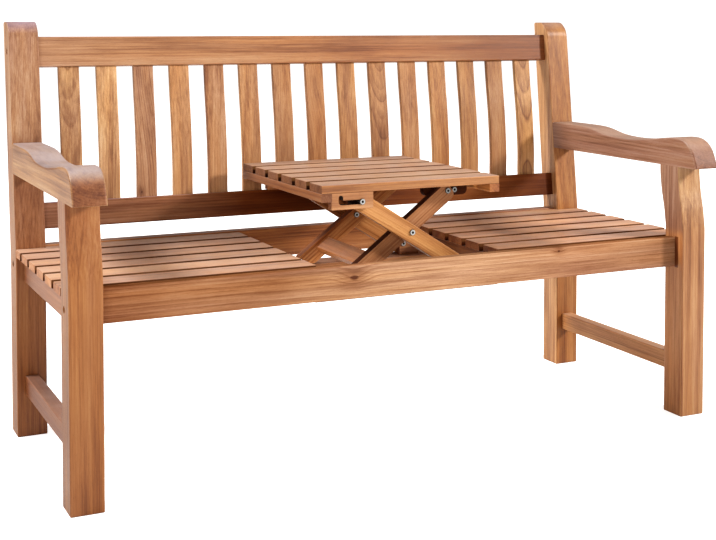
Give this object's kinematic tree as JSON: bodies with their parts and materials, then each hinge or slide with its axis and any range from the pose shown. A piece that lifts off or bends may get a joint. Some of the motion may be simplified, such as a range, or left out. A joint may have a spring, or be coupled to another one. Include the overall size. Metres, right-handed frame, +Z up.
{
  "type": "garden bench with raising centre table",
  "caption": "Slatted wooden garden bench with arms and a raked slatted back; a slatted centre table rises from the seat on crossed legs or folds flush with it.",
  "frame": {"origin": "on the ground, at the middle of the bench's outline", "axes": "+X along the bench towards its right arm seen from the front, +Y from the front towards the back, +Z up"},
  "size_m": [1.5, 0.694, 0.93],
  "materials": {
    "teak_frame": "oiled teak, fine straight grain, satin",
    "teak_armrests": "oiled teak, tops slightly bleached, satin",
    "teak_back_slats": "oiled teak, straight and cathedral grain, satin",
    "teak_seat_slats": "oiled teak, fine straight grain, satin",
    "teak_table_legs": "oiled teak, fine straight grain, satin",
    "bolt_steel": "zinc-bright steel"
  },
  "bodies": {
    "bench_frame": {"armrest_left": "teak_armrests", "armrest_right": "teak_armrests", "back_bottom_rail": "teak_frame", "back_post_left": "teak_frame", "back_post_right": "teak_frame", "back_slat_01": "teak_back_slats", "back_slat_02": "teak_back_slats", "back_slat_03": "teak_back_slats", "back_slat_04": "teak_back_slats", "back_slat_05": "teak_back_slats", "back_slat_06": "teak_back_slats", "back_slat_07": "teak_back_slats", "back_slat_08": "teak_back_slats", "back_slat_09": "teak_back_slats", "back_slat_10": "teak_back_slats", "back_slat_11": "teak_back_slats", "back_slat_12": "teak_back_slats", "back_slat_13": "teak_back_slats", "back_slat_14": "teak_back_slats", "back_slat_15": "teak_back_slats", "back_top_rail": "teak_frame", "frame_bolts": "bolt_steel", "front_leg_left": "teak_frame", "front_leg_right": "teak_frame", "front_seat_rail": "teak_frame", "lower_pivot_blocks": "teak_table_legs", "lower_pivot_bolts": "bolt_steel", "rear_seat_rail": "teak_frame", "seat_bearer_left": "teak_frame", "seat_bearer_right": "teak_frame", "seat_slat_rear_left": "teak_seat_slats", "seat_slat_rear_right": "teak_seat_slats", "seat_slats_left": "teak_seat_slats", "seat_slats_right": "teak_seat_slats", "side_seat_rail_left": "teak_frame", "side_seat_rail_right": "teak_frame", "side_stretcher_left": "teak_frame", "side_stretcher_right": "teak_frame", "table_base_rails": "teak_table_legs"},
    "pivoting_legs": {"centre_pivot_bolts": "bolt_steel", "centre_spacers": "bolt_steel", "pivoting_leg_front": "teak_table_legs", "pivoting_leg_rear": "teak_table_legs", "slot_pins": "bolt_steel"},
    "sliding_legs": {"sliding_leg_batten": "teak_table_legs", "sliding_leg_front": "teak_table_legs", "sliding_leg_rear": "teak_table_legs"},
    "table": {"pivot_block_bolts": "bolt_steel", "pivot_block_front": "teak_table_legs", "pivot_block_rear": "teak_table_legs", "slotted_block_front": "teak_table_legs", "slotted_block_rear": "teak_table_legs", "table_end_bearer_left": "teak_frame", "table_end_bearer_right": "teak_frame", "table_slat_1": "teak_seat_slats", "table_slat_2": "teak_seat_slats", "table_slat_3": "teak_seat_slats", "table_slat_4": "teak_seat_slats", "table_slat_5": "teak_seat_slats", "table_slat_6": "teak_seat_slats"}
  },
  "joints": [
    {"name": "leg_fold", "type": "hinge", "parent": "bench_frame", "child": "pivoting_legs", "pos_m": [0.14471, -0.0535, 0.39308], "axis": [0, -1, 0], "range_deg": [0, 32.54]},
    {"name": "leg_cross", "type": "hinge", "parent": "pivoting_legs", "child": "sliding_legs", "pos_m": [0.00885, -0.0535, 0.47538], "axis": [0, 1, 0], "range_deg": [0, 69.45]},
    {"name": "table_tilt", "type": "hinge", "parent": "sliding_legs", "child": "table", "pos_m": [0.11779, -0.0535, 0.55568], "axis": [0, -1, 0], "range_deg": [0, 36.91]}
  ],
  "couplings": [
    {"joint": "leg_cross", "follows": "leg_fold", "ratio": 2.134},
    {"joint": "table_tilt", "follows": "leg_fold", "ratio": 1.134}
  ]
}
